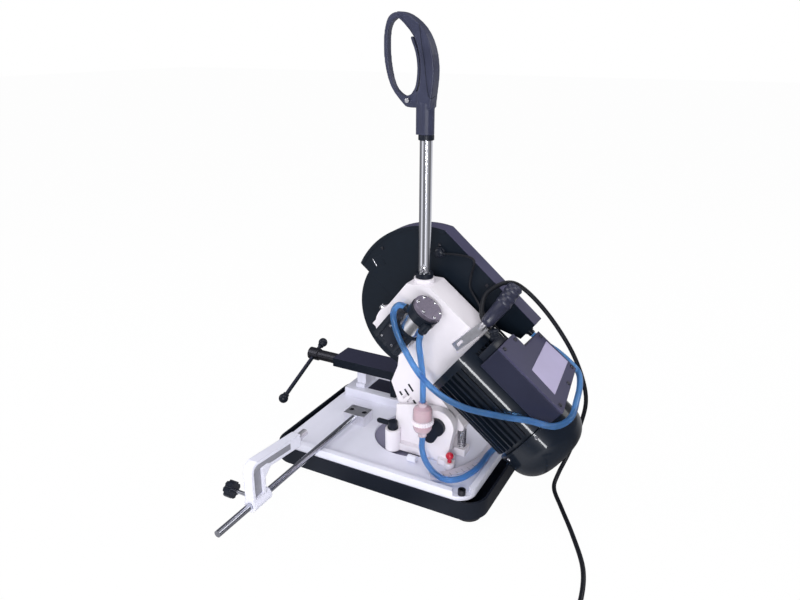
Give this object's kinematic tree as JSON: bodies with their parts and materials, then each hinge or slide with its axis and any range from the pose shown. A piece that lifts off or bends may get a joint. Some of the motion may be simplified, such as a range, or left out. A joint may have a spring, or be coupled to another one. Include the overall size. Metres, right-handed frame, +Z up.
{
  "type": "cold saw",
  "caption": "Bench-top cold saw with a tilting geared head on a mitre turntable, guarded round blade, screw vise, bar stop, coolant pump with hoses, and a lever with trigger grip.",
  "frame": {"origin": "middle of the four bench bolt holes, on the floor plane under the feet", "axes": "+Z up, -Y towards the operator, +X to the side that carries the pump and bar stop; the blade lies in a YZ plane"},
  "size_m": [0.596, 0.8675, 0.8366],
  "materials": {
    "casting": "satin enamel",
    "black_paint": "satin enamel",
    "slate_paint": "satin enamel",
    "steel": "ground",
    "dark_steel": "blackened",
    "chrome": "polished",
    "aluminium": "cast",
    "iron": "machined",
    "bronze": "machined",
    "copper": "varnished winding",
    "rubber": "matt",
    "grip_rubber": "ribbed",
    "black_plastic": "moulded",
    "hose": "clear blue",
    "filter": "clear",
    "red": "polished",
    "scale": "engraved"
  },
  "bodies": {
    "base": {"coolant_tank": "black_paint", "rubber_feet": "rubber", "base_casting": "casting", "base_bolts": "dark_steel", "mitre_scale": "scale", "fixed_jaw": "black_paint", "vise_nut": "casting", "stop_block": "steel", "stop_block_screws": "dark_steel", "stop_rod": "chrome", "suction_hose_lower": "hose"},
    "vise_jaw": {"vise_arm": "black_paint"},
    "vise_spindle": {"vise_screw": "dark_steel"},
    "vise_handle": {"vise_bar": "dark_steel", "vise_bar_balls": "black_plastic"},
    "stop": {"stop_arm": "casting", "stop_pin": "steel"},
    "stop_clamp": {"stop_knob": "black_plastic"},
    "swivel": {"turntable_disc": "iron", "swivel_bracket": "casting", "hinge_pin": "steel", "hinge_cap": "black_paint", "return_spring": "steel", "coolant_filter": "filter", "mains_cord": "rubber", "cord_coil": "rubber", "cord_tie": "rubber", "cord_plug": "rubber"},
    "mitre_clamp": {"clamp_lever": "black_plastic"},
    "index": {"index_pin": "red"},
    "head": {"gearbox_housing": "casting", "gearbox_cover": "casting", "motor_body": "black_paint", "stator": "copper", "fan_cover": "black_paint", "terminal_box": "black_plastic", "terminal_lid": "slate_paint", "cable_glands": "black_plastic", "bearings": "steel", "upper_guard": "black_paint", "lever_rod": "chrome", "lever_collar": "black_plastic", "grip": "black_plastic", "switch_cable": "rubber", "rear_handle_bar": "chrome", "rear_handle_grip": "grip_rubber", "pump_motor": "black_paint", "pump_head": "black_paint", "pump_cover": "aluminium", "delivery_hose": "hose", "suction_hose_upper": "hose"},
    "switch_trigger": {"trigger": "black_plastic"},
    "moving_guard": {"lower_guard": "black_paint"},
    "rotor": {"rotor_shaft": "steel", "worm": "steel", "cooling_fan": "dark_steel"},
    "blade_drive": {"worm_wheel": "bronze", "spindle": "steel", "blade": "steel", "blade_bolt": "steel"}
  },
  "joints": [
    {"name": "mitre_swivel", "type": "hinge", "parent": "base", "child": "swivel", "pos_m": [0, 0.01, 0.034], "axis": [0, 0, 1], "range_deg": [0, 45], "deforming": ["suction_hose_lower"]},
    {"name": "head_swing", "type": "hinge", "parent": "swivel", "child": "head", "pos_m": [0.02, 0.088, 0.121], "axis": [1, 0, 0], "range_deg": [0, 40], "deforming": ["return_spring", "mains_cord", "suction_hose_upper"]},
    {"name": "clamp_turn", "type": "hinge", "parent": "swivel", "child": "mitre_clamp", "pos_m": [0.067, -0.006, 0.09], "axis": [0, 0, 1], "range_deg": [0, 90]},
    {"name": "index_pull", "type": "slide", "parent": "swivel", "child": "index", "axis": [0, 0, 1], "range_m": [0, 0.008], "stiffness_N_per_m": 800, "springref_m": -0.002},
    {"name": "trigger_pull", "type": "hinge", "parent": "head", "child": "switch_trigger", "pos_m": [0.02, 0.00443, 0.699], "axis": [-1, 0, 0], "range_deg": [0, 2], "stiffness_Nm_per_rad": 8, "springref_deg": -2.86},
    {"name": "guard_turn", "type": "hinge", "parent": "head", "child": "moving_guard", "pos_m": [-0.046, -0.01005, 0.29232], "axis": [1, 0, 0], "range_deg": [0, 140]},
    {"name": "motor_spin", "type": "hinge", "parent": "head", "child": "rotor", "pos_m": [0.02, 0.16159, 0.21452], "axis": [0, 0.7859, -0.6184], "continuous": true},
    {"name": "blade_spin", "type": "hinge", "parent": "head", "child": "blade_drive", "pos_m": [-0.059, -0.01005, 0.29232], "axis": [1, 0, 0], "continuous": true},
    {"name": "vise_slide", "type": "slide", "parent": "base", "child": "vise_jaw", "axis": [0, 1, 0], "range_m": [-0.064, 0.0072]},
    {"name": "vise_turn", "type": "hinge", "parent": "vise_jaw", "child": "vise_spindle", "pos_m": [-0.11, -0.28, 0.109], "axis": [0, 1, 0], "range_deg": [-5670, 630]},
    {"name": "bar_slide", "type": "slide", "parent": "vise_spindle", "child": "vise_handle", "axis": [0.9135, 0, -0.4067], "range_m": [-0.1, 0.008]},
    {"name": "stop_slide", "type": "slide", "parent": "base", "child": "stop", "axis": [1, 0, 0], "range_m": [-0.1, 0.06]},
    {"name": "stop_knob_turn", "type": "hinge", "parent": "stop", "child": "stop_clamp", "pos_m": [0.336, -0.18, 0.062], "axis": [0, 1, 0], "range_deg": [-180, 180]}
  ],
  "couplings": [
    {"joint": "guard_turn", "follows": "head_swing", "ratio": 3.5},
    {"joint": "blade_spin", "follows": "motor_spin", "ratio": 0.033333},
    {"joint": "vise_slide", "follows": "vise_turn", "m_per_rad": 0.00063662}
  ]
}
